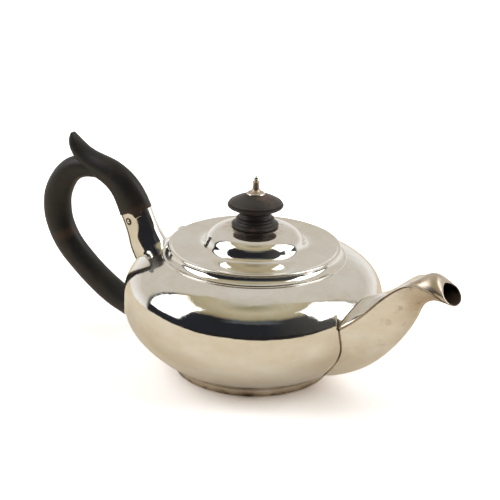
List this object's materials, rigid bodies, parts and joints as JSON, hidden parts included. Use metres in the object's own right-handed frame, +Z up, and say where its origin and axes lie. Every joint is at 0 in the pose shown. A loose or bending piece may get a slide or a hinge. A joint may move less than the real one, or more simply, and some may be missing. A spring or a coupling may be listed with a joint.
{
  "type": "teapot",
  "caption": "Low round silver teapot on a foot ring, with a two-shell spout, hinged domed lid with a wooden knob, and a wooden loop handle in silver sockets.",
  "frame": {"origin": "centre of the foot's lower edge, on the surface the pot stands on", "axes": "+X towards the spout, -X towards the handle, +Z up"},
  "size_m": [0.2742, 0.1464, 0.1167],
  "materials": {
    "polished_silver": "hand-polished sterling silver with fine wear",
    "handle_wood": "satin black-stained hardwood",
    "knob_wood": "dry worn dark hardwood"
  },
  "bodies": {
    "pot": {"body_bowl": "polished_silver", "foot_ring": "polished_silver", "mouth_collar": "polished_silver", "spout_upper_shell": "polished_silver", "spout_lower_shell": "polished_silver", "upper_handle_socket": "polished_silver", "lower_handle_socket": "polished_silver", "upper_socket_rivet": "polished_silver", "lower_socket_rivet": "polished_silver", "hinge_body_knuckles": "polished_silver", "hinge_pin": "polished_silver", "handle_grip": "handle_wood"},
    "lid": {"hinge_lid_knuckle": "polished_silver", "lid_cover": "polished_silver", "lid_bezel": "polished_silver", "knob_button": "knob_wood", "knob_finial": "polished_silver", "knob_washer": "polished_silver", "knob_nut": "polished_silver"}
  },
  "joints": [
    {"name": "lid_hinge", "type": "hinge", "parent": "pot", "child": "lid", "pos_m": [-0.0495, 0, 0.07], "axis": [0, -1, 0], "range_deg": [0, 92]}
  ]
}
